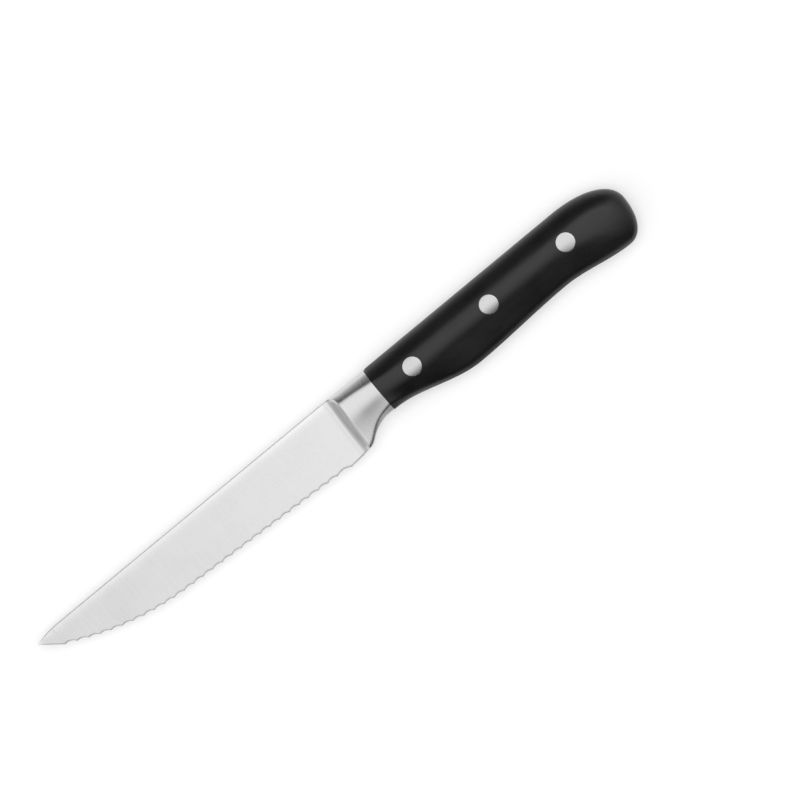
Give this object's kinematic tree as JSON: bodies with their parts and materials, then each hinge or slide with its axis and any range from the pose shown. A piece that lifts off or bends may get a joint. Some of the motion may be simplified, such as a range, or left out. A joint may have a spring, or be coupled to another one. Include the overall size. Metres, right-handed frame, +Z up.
{
  "type": "steak knife",
  "caption": "Forged steak knife: a pointed blade with a scalloped cutting edge, a steel bolster and a black riveted handle, lying on its side.",
  "frame": {"origin": "middle of the knife's length and width, on the surface that the knife lies on", "axes": "+X from the tip to the butt, +Y from the cutting edge to the spine, +Z up out of the knife's left side"},
  "size_m": [0.2458, 0.0242, 0.014],
  "materials": {
    "blade_steel": "satin",
    "black_handle": "satin",
    "rivet_steel": "satin"
  },
  "bodies": {
    "root": {"forged_blade": "blade_steel", "left_scale": "black_handle", "right_scale": "black_handle", "front_rivet_pin": "rivet_steel", "front_rivet_socket": "rivet_steel", "middle_rivet_pin": "rivet_steel", "middle_rivet_socket": "rivet_steel", "rear_rivet_pin": "rivet_steel", "rear_rivet_socket": "rivet_steel"}
  },
  "joints": []
}
